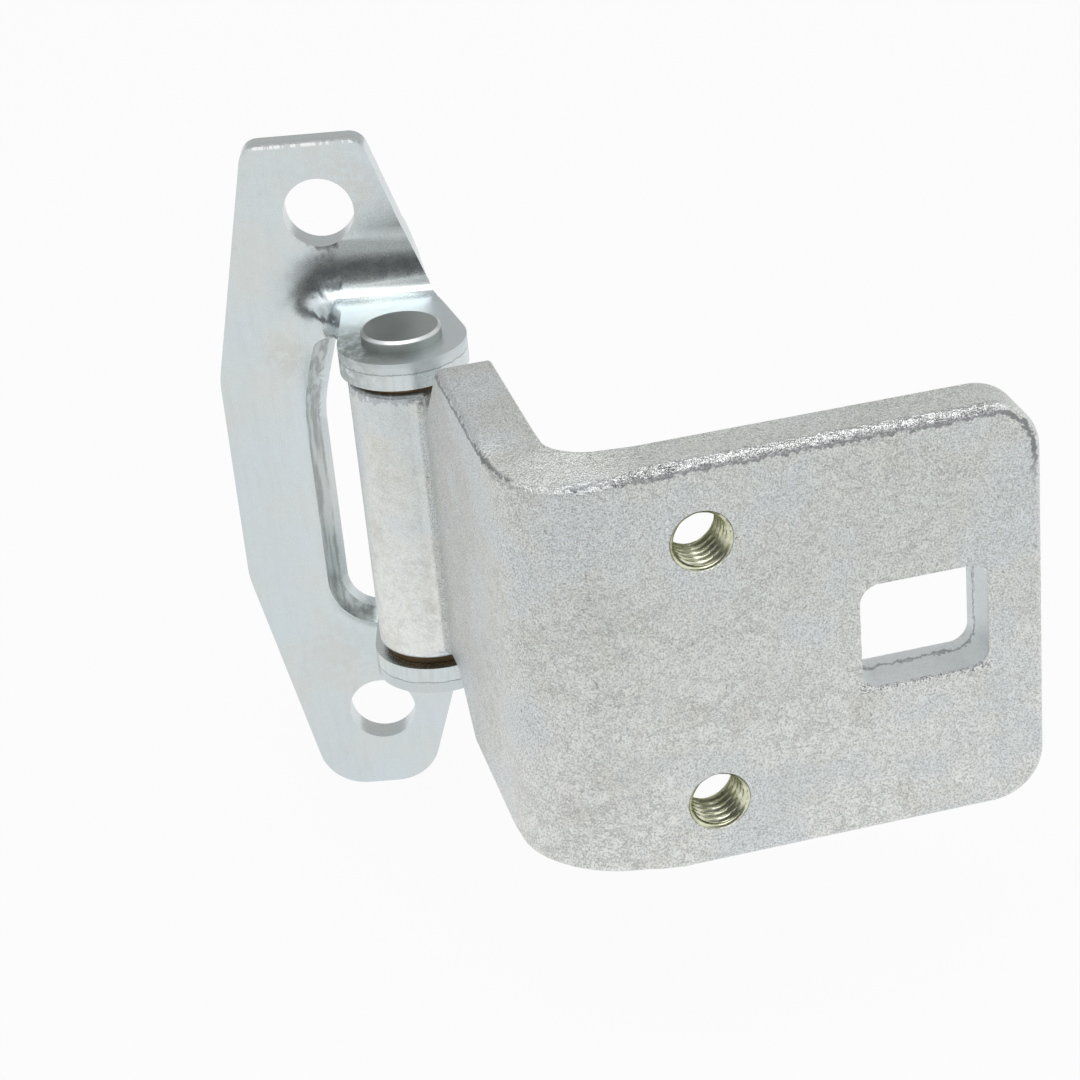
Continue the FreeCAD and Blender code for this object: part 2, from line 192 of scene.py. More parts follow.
# Places on the door leaf, in its own frame from the pin's axis
leaf_end = 67.7
leaf_top = 32.25
leaf_corner_r = 7.0
window_at = (51.85, 3.5)
window_half = (8.45, 7.4)
window_edge = (0.5, 0.3)
window_sill = (-2.7, -3.1)
knuckle_r = 8.05
knuckle_edge = (0.8, 0.2)
knuckle_top = 23.35
knuckle_clear = (9.0, 14.0)
knuckle_smooth = 0.7
thread_tint_r = 3.98
thread_tint_soft = 0.15

# Forging
forging_base = ((0.72, 0.73, 0.72), 0.34)
forging_sand = (0.27, 2.0, 0.6)
forging_fine = (0.18, 1.0, 0.5)
forging_grit = (1.5, 4.0, 0.7)
forging_cloud = (9.0, 3.0, 0.55)
forging_patch = (13.0, 3.0, 0.5)
forging_earth = (7.0, 5.0, 0.62)
forging_wrinkle = (2.6, 5.0, 0.65, 0.5)
forging_speck = (0.55, 1.0, 0.5)
forging_wave = (1.1, 3.0, 0.65)
forging_flake = (0.5, 2.0, 0.6)
patch_shift = (40.0, 7.0, 90.0)
earth_shift = (10.0, 60.0, 20.0)
wrinkle_stretch = (0.6, 0.6, 1.0)
zinc_shades = ((0.745, 0.785, 0.765), (0.765, 0.79, 0.75), (0.35, 0.65))
low_layer = ((0.97, 0.98, 0.96), 0.78, (22.0, -22.0))
earth_layer = ((0.73, 0.715, 0.65), 0.5, (0.47, 0.62))
wrinkle_layer = ((0.40, 0.41, 0.40), 0.55, (0.03, 0.008))
wrinkle_patch = (0.56, 0.46)
grit_layer = ((0.52, 0.545, 0.53), 0.22, (0.5, 0.66))
leg_layer = ((0.52, 0.54, 0.53), 0.55, (-52.0, -24.0))
patch_layer = ((0.705, 0.76, 0.785), 0.75, (0.48, 0.62))
sand_layer = ((0.45, 0.46, 0.445), 0.68, (0.46, 0.56))
fine_layer = ((0.97, 0.98, 0.97), 0.62, (0.5, 0.42))
speck_layer = ((0.28, 0.28, 0.27), 0.6, (0.72, 0.77))
forging_rough = (0.25, 0.75, 0.42, 0.52)
sand_high, fine_high, grit_high = 0.18, 0.06, 0.08

# Scratches of the forging: direction in degrees, shift and size of each field, and what the fields share
scratch_fields = ((14.0, 3.0, 0.7), (-38.0, 31.0, 0.8))
scratch_noise = (3.0, 0.6, 0.9)
scratch_stretch = (0.22, 1.0, 0.6)
scratch_range = (0.70, 0.76)
scratch_dark = (0.40, 0.41, 0.40)
scratch_strength = 0.5
scratch_deep = 0.06

# Painted dark reflection along the leaf's upper front edge, in from the outline: a wavering band, down to a height
# and a depth
edge_waver = (0.3, 0.7, -0.55, 0.55)
edge_reflection_dark = (0.24, 0.25, 0.26)
edge_reflection_strength = 0.85
edge_reflection_band = (0.6, 0.85, 1.25, 1.5)
edge_reflection_low = (leaf_top - 13.0, leaf_top - 7.0)
edge_reflection_depth = (1.0, 0.5)
edge_reflection_waver = 0.6

# Flaked collar below the knuckle's top
collar_grey = (0.42, 0.45, 0.48)
collar_strength = 0.6
collar_down = (1.5, 1.1)
flake_layer = ((0.95, 0.96, 0.97), 0.6, (0.56, 0.62))

# Window: bright walls behind the outer face, a dark score deeper in, and a burr on the sill
wall_depth = (0.25, 0.5)
wall_layer = ((0.86, 0.90, 0.92), 0.75, wall_depth)
score_dark = (0.28, 0.30, 0.31)
score_strength = 0.7
score_band = (4.9, 5.2, 5.5, 5.8)
sill_depth = (0.7, 0.4)
sill_dark_layer = ((0.24, 0.25, 0.25), 1.0, (0.44, 0.54))
sill_bright_layer = ((0.97, 0.98, 0.98), 1.0, (0.5, 0.56))

# Torn edge and threads of the forging
tear_bright_layer = ((0.85, 0.86, 0.87), 1.0, (0.45, 0.6))
tear_dark_layer = ((0.32, 0.33, 0.33), 1.0, (0.5, 0.6))
tear_polish = 0.22
thread_shades = ((0.76, 0.77, 0.60), (0.60, 0.615, 0.44), (0.35, 0.65))
thread_polish = 0.2

# Pin: its head's top, and its rim that is painted lighter as a highlight
pin_base = ((0.47, 0.49, 0.47), 0.24)
head_top = 30.2
pin_rim_r = (5.0, 5.25)
pin_rings = (0.12, 2.0)
pin_cloud = (4.0, 3.0, 0.5)
pin_light = (0.41, 0.44, 0.42)
pin_dark = (0.36, 0.39, 0.375)
pin_rim_highlight_layer = ((0.68, 0.70, 0.70), 1.0, (head_top - 0.6, head_top - 0.3))
pin_rough = (0.3, 0.7, 0.34, 0.4)
pin_rings_high = 0.003

# Bushes: dark brown, partly from grease and dirt and partly as painted shade; the upper flange is rubbed clean
# just below the upper ear's underside
bush_base = ((0.55, 0.42, 0.20), 0.38)
upper_ear_under = 24.5
bush_cloud = (1.2, 4.0, 0.6)
bush_brown = (0.20, 0.135, 0.07)
bush_dark = (0.11, 0.075, 0.045)
bush_clean_layer = ((0.62, 0.48, 0.24), 1.0, (upper_ear_under - 0.45, upper_ear_under - 0.2))
bush_rough = (0.3, 0.7, 0.35, 0.5)
bush_high = 0.02

# Studio: cards that only reflections see, each from one (y, z) to the next, with its brightness
room_half = 0.95
cards = (("skirt_card", (-0.95, -0.05), (-0.95, 0.06), 0.75),
         ("front_card", (-0.95, 0.06), (-0.8, 0.84), 0.075),
         ("overhead_card", (0.1, 1.0), (0.95, 0.95), 0.6),
         ("back_card", (0.95, 0.02), (0.95, 0.95), 0.55))

# Card at the left side: from one height to the next, with its brightness
side_card = (0.16, 0.62, 0.12)

# Lamp and sky
lamp_size = (0.95, 0.86)
lamp_at = Vector((0.0, -0.32, 0.93))
lamp_power = 3.6
sky_level = 0.5

# Floor, and how white it is seen
floor_color = 0.82
floor_rough = 0.9
floor_specular = 0.1
floor_reach = 3.0
floor_share = 0.93


# Shader graphs

class Graph:
    """A material's node tree, with a principled metal at its end and the colour that is painted so far."""

    def __init__(self, name, color, roughness):
        self.material = bpy.data.materials.new(name)
        self.material.use_nodes = True
        self.tree = self.material.node_tree
        self.shader = self.tree.nodes["Principled BSDF"]
        self.shader.inputs["Metallic"].default_value = 1.0
        self.shader.inputs["Roughness"].default_value = roughness
        self.shader.inputs["Base Color"].default_value = (*color, 1.0)
        self.color = None

    def node(self, kind, inputs=(), **settings):
        made = self.tree.nodes.new(kind)
        for key, value in settings.items():
            setattr(made, key, value)
        for key, value in dict(inputs).items():
            self.feed(made.inputs[key], value)
        return made

    def feed(self, socket, value):
        if isinstance(value, bpy.types.NodeSocket):
            self.tree.links.new(value, socket)
        else:
            socket.default_value = value

    def math(self, operation, first, second=0.0, clamp=False):
        made = self.node("ShaderNodeMath", {0: first, 1: second}, operation=operation)
        made.use_clamp = clamp
        return made.outputs[0]

    def plus(self, first, second):
        return self.math("ADD", first, second)

    def minus(self, first, second, clamp=False):
        return self.math("SUBTRACT", first, second, clamp)

    def times(self, *values):
        return functools.reduce(lambda one, other: self.math("MULTIPLY", one, other), values)

    def most(self, *values):
        return functools.reduce(lambda one, other: self.math("MAXIMUM", one, other), values)

    def vector(self, operation, first, second=(0, 0, 0)):
        made = self.node("ShaderNodeVectorMath", {0: first}, operation=operation)
        self.feed(made.inputs[3 if operation == "SCALE" else 1], second)
        return made.outputs["Value" if operation in ("LENGTH", "DISTANCE", "DOT_PRODUCT") else 0]

    def place_mm(self):
        """Place on the piece in millimetres. It stays with the piece when the hinge moves."""
        here = self.node("ShaderNodeTexCoord").outputs["Object"]
        return self.vector("SCALE", here, 1 / MM)

    def split(self, vector):
        return self.node("ShaderNodeSeparateXYZ", {0: vector}).outputs

    def join(self, x, y, z):
        return self.node("ShaderNodeCombineXYZ", {0: x, 1: y, 2: z}).outputs[0]

    def turn(self, vector, angle):
        """The vector, turned about its third axis."""
        return self.node("ShaderNodeVectorRotate", {"Vector": vector, "Angle": angle},
                         rotation_type="Z_AXIS").outputs[0]

    def leaf_place(self, place):
        """Along the door leaf, square to it and up, all from the pin's axis."""
        return self.split(self.turn(self.vector("SUBTRACT", place, tuple(pin_at / MM)), -leaf_turn))

    def across(self, x, y):
        return self.vector("LENGTH", self.join(x, y, 0.0))

    def corner(self, x, y):
        """Distance from a corner's centre, where only what lies beyond it on each axis counts."""
        beyond = self.vector("MAXIMUM", self.join(x, y, 0.0), (0.0, 0.0, 0.0))
        return self.vector("LENGTH", beyond)

    def noise(self, vector, size_mm, detail=3.0, roughness=0.5, distortion=0.0):
        made = self.node("ShaderNodeTexNoise", {"Vector": vector, "Scale": 1 / size_mm, "Detail": detail,
                                                "Roughness": roughness, "Distortion": distortion})
        return made.outputs["Fac"]

    def stored(self, name):
        """A value that the mesh holds."""
        made = self.node("ShaderNodeAttribute", attribute_name=name, attribute_type="GEOMETRY")
        return made.outputs["Fac"]

    def ramp(self, value, low, high, to_low=0.0, to_high=1.0):
        """Smooth change from one value to another while the input goes from low to high."""
        made = self.node("ShaderNodeMapRange", {"Value": value, "From Min": low, "From Max": high,
                                                "To Min": to_low, "To Max": to_high},
                         interpolation_type="SMOOTHSTEP")
        return made.outputs[0]

    def band(self, value, rise, risen, fall, fallen):
        """One between two values, with soft ends."""
        return self.times(self.ramp(value, rise, risen), self.ramp(value, fallen, fall))

    def near(self, place, centre, inner, outer):
        """One inside the inner distance of a point and zero beyond the outer."""
        return self.ramp(self.vector("DISTANCE", place, centre), outer, inner)

    def tint(self, share, first, second):
        made = self.node("ShaderNodeMix", data_type="RGBA")
        self.feed(made.inputs["Factor"], share)
        for socket, value in ((made.inputs[6], first), (made.inputs[7], second)):
            self.feed(socket, value if isinstance(value, bpy.types.NodeSocket) else (*value, 1.0))
        return made.outputs[2]

    def shades(self, source, first, second, span):
        """From the first colour to the second as the source goes over the range."""
        return self.tint(self.ramp(source, *span), first, second)

    def paint(self, color, strength, *masks):
        """Lay a colour over what is painted so far, as strongly as the strength times the masks."""
        self.color = self.tint(self.times(*masks, strength), self.color, color)

    def layer(self, values, source, *masks):
        """Paint a layer where its source is within the range, and where the masks are."""
        color, strength, span = values
        self.paint(color, strength, self.ramp(source, *span), *masks)

    def bump(self, height, distance_mm, normal=None):
        made = self.node("ShaderNodeBump", {"Height": height, "Distance": distance_mm * MM})
        if normal is not None:
            self.feed(made.inputs["Normal"], normal)
        return made.outputs[0]

    def finish(self, roughness, normal):
        for key, value in (("Base Color", self.color), ("Roughness", roughness), ("Normal", normal)):
            self.feed(self.shader.inputs[key], value)
        return self.material


def sheet_material():
    """Bright zinc on pressed sheet: smooth, faintly streaked and stained, with painted shade on the upper ear's
    top, a painted highlight on the burr of the top front edge, and sheared rims.
    """
    g = Graph("plated_sheet", *sheet_base)
    place = g.place_mm()
    x, y, z = g.split(place)
    cloud = g.noise(place, *sheet_cloud)
    streak = g.noise(g.vector("MULTIPLY", place, streak_stretch), *sheet_streak)
    mottle = g.noise(place, *sheet_mottle)
    grain = g.noise(place, *sheet_grain)
    g.color = g.shades(cloud, *sheet_shades)
    g.layer(dull_layer, streak)
    # Stains, and the last entry's painted shade on the upper ear's top beside the pin's head
    for centre, reach, strength, tone in sheet_stains_and_shade:
        spot = g.near(place, centre, reach * stain_and_shade_core, reach)
        g.paint(tone, strength, spot, g.ramp(mottle, *stain_and_shade_spots))

    wave = g.plus(g.stored("depth"), g.ramp(mottle, *shear_waver))
    cut = g.times(g.stored("cut"), g.ramp(y, *ear_side_y))
    g.layer(shorn_layer, wave, cut)
    g.layer(torn_layer, wave, cut, g.ramp(streak, *torn_streak))
    # Painted highlight along the burr of the plate's top front edge
    g.layer(burr_highlight_layer, streak, g.ramp(z, *plate_top_z), g.ramp(y, *plate_front_y))
    strap = g.times(g.ramp(x, *strap_x), g.ramp(g.math("ABSOLUTE", z), *strap_z))
    strap = g.times(strap, g.math("MULTIPLY", cut, strap_whole, clamp=True), g.ramp(wave, *strap_depth))
    g.paint(strap_grey, 1.0, strap, g.ramp(streak, *strap_streak))
    g.paint(step_dark, 1.0, cut, g.band(wave, *step_band), g.minus(step_strength, strap, clamp=True))

    ear_top = g.times(g.ramp(y, *ear_top_y), g.ramp(z, *ear_top_z))
    rough = g.plus(g.ramp(mottle, *sheet_rough), g.times(ear_top, ear_top_rough))
    return g.finish(rough, g.bump(g.times(streak, cut), shear_high, g.bump(grain, sheet_grain_high)))


def thread_mask(g, place, mount):
    """One inside a threaded hole of the door leaf."""
    off = g.vector("SUBTRACT", place, tuple(Vector(mount["pos_m"]) / MM))
    along = g.vector("DOT_PRODUCT", off, tuple(leaf_out))
    radial = g.vector("LENGTH", g.vector("SUBTRACT", off, g.vector("SCALE", tuple(leaf_out), along)))
    return g.ramp(radial, thread_tint_r + thread_tint_soft, thread_tint_r)


def window_mask(g, value, axis):
    """One where a coordinate lies within the door leaf's window, its walls included."""
    away = g.math("ABSOLUTE", g.minus(value, window_at[axis]))
    return g.ramp(away, *(window_half[axis] + edge for edge in window_edge))


def scratch_mask(g, leaf_place):
    fields = []
    for angle, shift, size in scratch_fields:
        turned = g.vector("ADD", g.turn(leaf_place, math.radians(angle)), (shift, shift, 0.0))
        stretched = g.vector("MULTIPLY", turned, scratch_stretch)
        fields.append(g.ramp(g.noise(stretched, size, *scratch_noise), *scratch_range))
    return g.most(*fields)


def forging_material():
    """Bright zinc on a blasted forging: sandy faces, light scratches, a torn rim with a painted dark reflection
    below it, and yellowish threads.
    """
    g = Graph("plated_forging", *forging_base)
    place = g.place_mm()
    a, b, up = g.leaf_place(place)
    sand = g.noise(place, *forging_sand)
    fine = g.noise(place, *forging_fine)
    grit = g.noise(place, *forging_grit)
    cloud = g.noise(place, *forging_cloud)
    patch = g.noise(g.vector("ADD", place, patch_shift), *forging_patch)
    earth = g.noise(g.vector("ADD", place, earth_shift), *forging_earth)
    radius = g.across(a, b)
    eye = g.ramp(radius, *(knuckle_r + edge for edge in knuckle_edge))
    threads = g.most(*(thread_mask(g, place, mounts[name]) for name in thread_names))
    sandy = g.minus(1.0, g.most(threads, g.times(eye, knuckle_smooth)))

    g.color = g.shades(cloud, *zinc_shades)
    # The door leaf is painted lighter towards the bottom
    g.layer(low_layer, up)
    g.layer(earth_layer, earth)
    wrinkle = g.noise(g.vector("MULTIPLY", place, wrinkle_stretch), *forging_wrinkle)
    g.layer(wrinkle_layer, g.math("ABSOLUTE", g.minus(wrinkle, 0.5)), g.ramp(patch, *wrinkle_patch), sandy)
    g.layer(grit_layer, grit)
    # The leg is painted darker towards the knuckle
    g.layer(leg_layer, b, g.minus(1.0, eye))
    g.layer(patch_layer, patch)
    g.layer(sand_layer, sand, sandy)
    g.layer(fine_layer, fine, sandy)
    g.layer(speck_layer, g.noise(place, *forging_speck), sandy)
    scratches = g.times(scratch_mask(g, g.join(a, up, b)), sandy)
    g.paint(scratch_dark, scratch_strength, scratches)

    wave = g.ramp(g.noise(place, *forging_wave), *edge_waver)
    inward = g.corner(g.minus(bend_centre.x / MM, a), g.minus(bend_centre.y / MM, b))
    depth = g.minus(bend_outer_r / MM, inward)
    outward = g.corner(g.minus(a, leaf_end - leaf_corner_r), g.minus(up, leaf_top - leaf_corner_r))
    gap = g.plus(g.minus(leaf_corner_r, outward), g.times(wave, edge_reflection_waver))
    # Painted dark reflection: a dark wavering line just below the upper front edge and down the top of the leaf's
    # end
    g.paint(edge_reflection_dark, edge_reflection_strength, g.band(gap, *edge_reflection_band), g.ramp(up, *edge_reflection_low),
            g.ramp(depth, *edge_reflection_depth), g.ramp(radius, *knuckle_clear))

    collar = g.times(g.ramp(g.plus(g.minus(knuckle_top, up), wave), *collar_down), eye)
    g.paint(collar_grey, collar_strength, collar)
    g.layer(flake_layer, g.noise(place, *forging_flake), collar)

    window = g.times(window_mask(g, a, 0), window_mask(g, up, 1))
    sill = g.times(window, g.ramp(depth, *sill_depth), g.ramp(up, *window_sill))
    score = g.band(g.plus(depth, wave), *score_band)
    g.layer(wall_layer, depth, window)
    g.paint(score_dark, score_strength, window, g.ramp(depth, *wall_depth), score)
    g.layer(sill_dark_layer, sand, sill)
    g.layer(sill_bright_layer, fine, sill)

    torn = g.stored("torn")
    g.layer(tear_bright_layer, sand, torn)
    g.layer(tear_dark_layer, fine, torn)
    g.paint(g.shades(grit, *thread_shades), 1.0, threads)

    rough = g.minus(g.ramp(grit, *forging_rough), g.times(threads, thread_polish))
    rough = g.minus(rough, g.times(torn, tear_polish))
    height = g.plus(g.plus(g.times(sand, sand_high), g.times(fine, fine_high)), g.times(grit, grit_high))
    height = g.times(g.minus(height, g.times(scratches, scratch_deep)), sandy)
    return g.finish(rough, g.bump(height, 1.0))


def pin_material():
    """Fine-turned steel, darker than the leaves, with a painted highlight on its head's rim."""
    g = Graph("pin_steel", *pin_base)
    place = g.vector("SUBTRACT", g.place_mm(), tuple(pin_at / MM))
    x, y, z = g.split(place)
    radius = g.across(x, y)
    rings = g.noise(g.join(radius, 0.0, z), *pin_rings)
    cloud = g.noise(place, *pin_cloud)
    g.color = g.tint(cloud, pin_light, pin_dark)
    # Painted highlight: the top of the head's rim is painted lighter all round
    g.layer(pin_rim_highlight_layer, z, g.ramp(radius, *pin_rim_r))
    return g.finish(g.ramp(cloud, *pin_rough), g.bump(rings, pin_rings_high))


def bush_material():
    """Dull bronze, browned by grease and dirt and darkened as painted shade, away from the rubbing rim under the
    upper ear.
    """
    g = Graph("bush_bronze", *bush_base)
    place = g.place_mm()
    cloud = g.noise(place, *bush_cloud)
    # Dark brown all over, partly grease and dirt and partly painted shade on the flanges between the knuckle and
    # the ears
    g.color = g.tint(cloud, bush_brown, bush_dark)
    g.layer(bush_clean_layer, g.split(place)[2])
    return g.finish(g.ramp(cloud, *bush_rough), g.bump(cloud, bush_high))


# Meshes

def clamped(value):
    return min(max(value, 0.0), 1.0)


def mesh_object(name, mesh):
    data = bpy.data.meshes.new(name)
    mesh.to_mesh(data)
    mesh.free()
    made = bpy.data.objects.new(name, data)
    bpy.context.scene.collection.objects.link(made)
    return made


def bake_modifiers(obj):
    graph = bpy.context.evaluated_depsgraph_get()
    obj.data = bpy.data.meshes.new_from_object(obj.evaluated_get(graph))
    obj.modifiers.clear()


def copy_of(node):
    """Welded copy of a CAD node's mesh, with no custom normals."""
    mesh = bmesh.new()
    mesh.from_mesh(frame["nodes"][node].data)
    bmesh.ops.remove_doubles(mesh, verts=mesh.verts, dist=weld_gap)
    return mesh_object(node + "_surface", mesh)


def shade(obj, angle_deg):
    """Smooth shading, broken at edges sharper than the angle."""
    obj.data.shade_smooth()
    obj.data.set_sharp_from_angle(angle=math.radians(angle_deg))
    weigh = obj.modifiers.new("normals", "WEIGHTED_NORMAL")
    weigh.keep_sharp = True


def dress(obj, material):
    obj.data.materials.clear()
    obj.data.materials.append(material)


# Threads, cut into a copy of the door leaf

def thread_profile(share):
    """Depth of the groove over one turn, from 0 at the crest to 1 at the root."""
    return clamped(thread_groove - abs(share - 0.5) * thread_slope)


def thread_cutter(mount):
    """Threaded rod that fills the hole, its grooves reaching into the wall."""
    axis = Vector(mount["axis"]).normalized()
    half = mount["dims"]["length_mm"] * MM / 2 + thread_mouth + thread_pitch
    core = mount["dims"]["r_mm"] * MM + thread_core_clear
    turn = axis.to_track_quat("Z", "Y").to_matrix().to_4x4()
    rows = round(2 * half / (thread_pitch / thread_rows_a_turn))
    mesh = bmesh.new()
    rings = []
    for i in range(rows + 1):
        along = -half + 2 * half * i / rows
        ring = []
        for j in range(thread_sides):
            share = (along / thread_pitch - j / thread_sides) % 1.0
            radius = core + thread_depth * thread_profile(share)
            angle = 2 * math.pi * j / thread_sides
            ring.append(mesh.verts.new((radius * math.cos(angle), radius * math.sin(angle), along)))
        rings.append(ring)
    for low, high in zip(rings, rings[1:]):
        for j in range(thread_sides):
            k = (j + 1) % thread_sides
            mesh.faces.new((low[j], low[k], high[k], high[j]))
    mesh.faces.new(reversed(rings[0]))
    mesh.faces.new(rings[-1])
    mesh.transform(Matrix.Translation(Vector(mount["pos_m"])) @ turn)
    return mesh_object("thread_cutter", mesh)


def threaded_leaf():
    leaf = copy_of("door_leaf")
    for name in thread_names:
        cutter = thread_cutter(mounts[name])
        cut = leaf.modifiers.new("thread", "BOOLEAN")
        cut.operation = "DIFFERENCE"
        cut.solver = "EXACT"
        cut.object = cutter
        bake_modifiers(leaf)
        bpy.data.objects.remove(cutter)
    return leaf


# Torn upper front edge of the door leaf

def bar_depth(spot):
    """How far a point of the door leaf's own frame lies behind the bar's outer face."""
    corner = Vector((max(bend_centre.x - spot.x, 0.0), max(bend_centre.y - spot.y, 0.0)))
    return bend_outer_r - corner.length


def cut_faces(mesh, faces, spot, normal):
    """Cut the faces by a plane; returns those behind it and those before it."""
    parts = list(dict.fromkeys(item for face in faces for item in (face, *face.edges, *face.verts)))
    got = bmesh.ops.bisect_plane(mesh, geom=parts, dist=cut_gap, plane_co=spot, plane_no=normal)
    made = [item for item in got["geom"] if isinstance(item, bmesh.types.BMFace)]
    before = [(face.calc_center_median() - spot).dot(normal) > 0 for face in made]
    return [f for f, far in zip(made, before) if not far], [f for f, far in zip(made, before) if far]


def cut_rows(mesh, faces, edge, inward, normal):
    """Cut a band of faces into rows, from its edge inward."""
    for i in range(1, tear_rows):
        spot = edge + inward * (tear_wide * i / tear_rows)
        faces = sum(cut_faces(mesh, faces, spot, normal), [])
    return faces


def cut_band(mesh, top):
    """Divide the band beside the upper front edge finely enough for the tear."""
    along, back, up = Matrix.Identity(3)
    outer = [f for f in mesh.faces if max(v.co.z for v in f.verts) > top - tear_wide
             and min(bar_depth(v.co) for v in f.verts) < tear_wide and max(v.co.x for v in f.verts) > 0.0]
    band = cut_faces(mesh, outer, up * (top - tear_wide), up)[1]
    band = cut_rows(mesh, band, up * top, -up, up)
    arc, straight = cut_faces(mesh, band, along * bend_centre.x, along)
    face_b = bend_centre.y - bend_outer_r
    straight = cut_faces(mesh, straight, back * (face_b + tear_wide), back)[0]
    straight = cut_rows(mesh, straight, back * face_b, back, back)
    for i in range(1, round((tear_end - bend_centre.x) / tear_step) + 1):
        straight = cut_faces(mesh, straight, along * (bend_centre.x + i * tear_step), along)[1]
    axis = Vector((*bend_centre, 0))
    for i in range(1, round(tear_arc * bend_outer_r / tear_step) + 1):
        angle = i * tear_step / bend_outer_r
        slab, arc = cut_faces(mesh, arc, axis, Vector((-math.cos(angle), math.sin(angle), 0)))
        angle -= tear_step / bend_outer_r / 2
        inward = Vector((math.sin(angle), math.cos(angle), 0))
        slab = cut_faces(mesh, slab, axis - inward * (bend_outer_r - tear_wide), inward)[0]
        cut_rows(mesh, slab, axis - inward * bend_outer_r, inward, inward)


def tear_share(spot, top):
    """How strongly the edge is torn at a point: most at the edge, fading inward and at both ends."""
    if spot.z < top - tear_wide or spot.x < 0.0 or bar_depth(spot) > tear_wide:
        return None
    share = clamped((1 - max(bar_depth(spot), top - spot.z, 0.0) / tear_wide) * tear_gain)
    angle = math.atan2(max(bend_centre.x - spot.x, 0.0), max(bend_centre.y - spot.y, tiny))
    share *= clamped((tear_arc - angle) / (tear_arc * tear_arc_fade))
    return share * clamped((tear_end - spot.x) / tear_fade)


def tear_edge(leaf):
    """Roughen the door leaf's upper front edge in the mesh, where the forging's flash broke off."""
    mesh = bmesh.new()
    mesh.from_mesh(leaf.data)
    layer = mesh.verts.layers.float.new("torn")
    own = Matrix.Rotation(-leaf_turn, 4, "Z") @ Matrix.Translation(-pin_at)
    mesh.transform(own)
    top = max(v.co.z for v in mesh.verts if v.co.x > bend_centre.x)
    cut_band(mesh, top)
    mesh.normal_update()
    shifts = {}
    for vertex in mesh.verts:
        share = tear_share(vertex.co, top)
        if share is not None:
            vertex[layer] = share
            place = vertex.co / MM
            rise = (tear_coarse[0] * noise.noise(place / tear_coarse[1])
                    + tear_fine[0] * noise.noise(place / tear_fine[1] + tear_fine_shift))
            shifts[vertex] = vertex.normal * (rise * share * MM)
    for vertex, shift in shifts.items():
        vertex.co += shift
    bmesh.ops.triangulate(mesh, faces=[f for f in mesh.faces if len(f.verts) > 4])
    mesh.transform(own.inverted())
    mesh.to_mesh(leaf.data)
    mesh.free()


# Photographed bend and sheared faces of the pillar leaf

def sheet_sides(sheet):
    """The sheet's mesh, which of its faces were cut through the sheet, and which lie on its front."""
    mesh = bmesh.new()
    mesh.from_mesh(sheet.data)
    mesh.faces.ensure_lookup_table()
    mesh.normal_update()
    tree = BVHTree.FromBMesh(mesh)
    cut = []
    for face in mesh.faces:
        centre = face.calc_center_median()
        hit = tree.ray_cast(centre - face.normal * ray_start, -face.normal, sheet_ray)
        cut.append(1.0 if hit[0] is None or hit[3] > sheet_limit else 0.0)
    first = max((f for f in mesh.faces if f.normal.y < -front_facing), key=lambda f: f.calc_area())
    front, waiting = {first.index}, [first]
    while waiting:
        face = waiting.pop()
        for edge in face.edges:
            for other in edge.link_faces:
                smooth = other.normal.dot(face.normal) > front_carries_on
                if smooth and other.index not in front and not cut[other.index]:
                    front.add(other.index)
                    waiting.append(other)
    return mesh, cut, front


def bend_point(way, lead, bend):
    """A bend's surface after a way along it, down and out from where it leaves the flat, in millimetres."""
    wide, turn, tight = bend
    if way < lead:
        return way, 0.0
    way -= lead
    if way < wide * turn:
        return lead + wide * math.sin(way / wide), wide * (1 - math.cos(way / wide))
    angle = min(turn + (way - wide * turn) / tight, math.pi / 2)
    rest = way - wide * turn - tight * (angle - turn)
    down = lead + (wide - tight) * math.sin(turn) + tight * math.sin(angle)
    return down, wide - (wide - tight) * math.cos(turn) - tight * math.cos(angle) + rest


def bend_shift(angle):
    """How far a point of the solid's bend lies from the photographed one, by the angle turned there."""
    wide, turn, tight = solid_bend
    length = wide * turn + tight * (math.pi / 2 - turn)
    way = wide * min(angle, turn) + tight * max(angle - turn, 0.0)
    out = bend_point(length, 0.0, solid_bend)[1]
    rest = out - bend_point(far_along, real_lead, real_bend)[1] + far_along
    old, new = bend_point(way, 0.0, solid_bend), bend_point(way * rest / length, real_lead, real_bend)
    return new[0] - old[0], new[1] - old[1]


def front_normals(mesh, front):
    """Smoothed normals of the front's points beside the upper ear."""
    normals = {}
    for vertex in mesh.verts:
        if bend_low < vertex.co.z < bend_high:
            loops = [loop for loop in vertex.link_loops if loop.face.index in front]
            if loops:
                total = sum((loop.face.normal * loop.calc_angle() for loop in loops), Vector())
                normals[vertex] = total.normalized()
    for _ in range(bend_smooth):
        smoothed = {}
        for vertex, normal in normals.items():
            others = [edge.other_vert(vertex) for edge in vertex.link_edges if edge.calc_length() < bend_near]
            total = sum((normals[other] for other in others if other in normals), normal.copy())
            smoothed[vertex] = total.normalized()
        normals = smoothed
    return normals


def reshape_bend(sheet):
    """Give the front of the bend beside the upper ear its photographed profile: wide at first, then tight."""
    mesh, _, front = sheet_sides(sheet)
    low, high = bend_rise
    for vertex, normal in front_normals(mesh, front).items():
        side = Vector((normal.x, 0.0, normal.z))
        if side.length < bend_flat or normal.z < 0:
            continue
        down, out = bend_shift(math.acos(clamped(-normal.y)))
        share = clamped((normal.z / side.length - low) / (high - low))
        vertex.co += (side.normalized() * -down + Vector((0, -out, 0))) * share * MM
    mesh.to_mesh(sheet.data)
    mesh.free()


